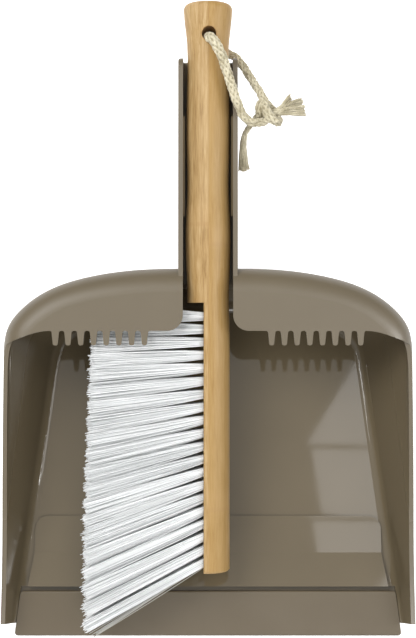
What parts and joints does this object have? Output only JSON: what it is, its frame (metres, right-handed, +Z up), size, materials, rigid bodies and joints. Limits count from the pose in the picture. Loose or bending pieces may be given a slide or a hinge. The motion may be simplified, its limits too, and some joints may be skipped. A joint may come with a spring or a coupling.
{
  "type": "dust pan and brush set",
  "caption": "Hooded plastic dust pan with comb teeth, rubber lip and channel handle; a bamboo hand brush with side bristles and a hanging cord clips into the channel.",
  "frame": {"origin": "middle of the pan's footprint, on the surface that the pan rests on", "axes": "+X to the right seen from above with the handle away, +Y from the pan's mouth to the handle end, +Z up"},
  "size_m": [0.2302, 0.3457, 0.0923],
  "materials": {
    "pan_plastic": "satin",
    "lip_rubber": "satin",
    "bamboo": "satin",
    "bristles": "satin",
    "anchor_wire": "satin",
    "cord": "matte"
  },
  "bodies": {
    "pan": {"dustpan": "pan_plastic", "front_lip": "lip_rubber"},
    "brush": {"brush_handle": "bamboo", "tuft_anchors": "anchor_wire", "tuft_01": "bristles", "tuft_02": "bristles", "tuft_03": "bristles", "tuft_04": "bristles", "tuft_05": "bristles", "tuft_06": "bristles", "tuft_07": "bristles", "tuft_08": "bristles", "tuft_09": "bristles", "tuft_10": "bristles", "tuft_11": "bristles", "tuft_12": "bristles", "tuft_13": "bristles", "tuft_14": "bristles", "tuft_15": "bristles", "tuft_16": "bristles", "tuft_17": "bristles", "tuft_18": "bristles", "tuft_19": "bristles", "tuft_20": "bristles", "cord_front_strand": "cord", "cord_back_strand": "cord", "cord_side_tail": "cord", "cord_end_tail": "cord", "cord_knot": "cord"}
  },
  "joints": [
    {"name": "brush_lift", "type": "slide", "parent": "pan", "child": "brush", "axis": [0, -0.1564, 0.9877], "range_m": [0, 0.09], "deforming": ["tuft_01", "tuft_02", "tuft_03"]}
  ]
}
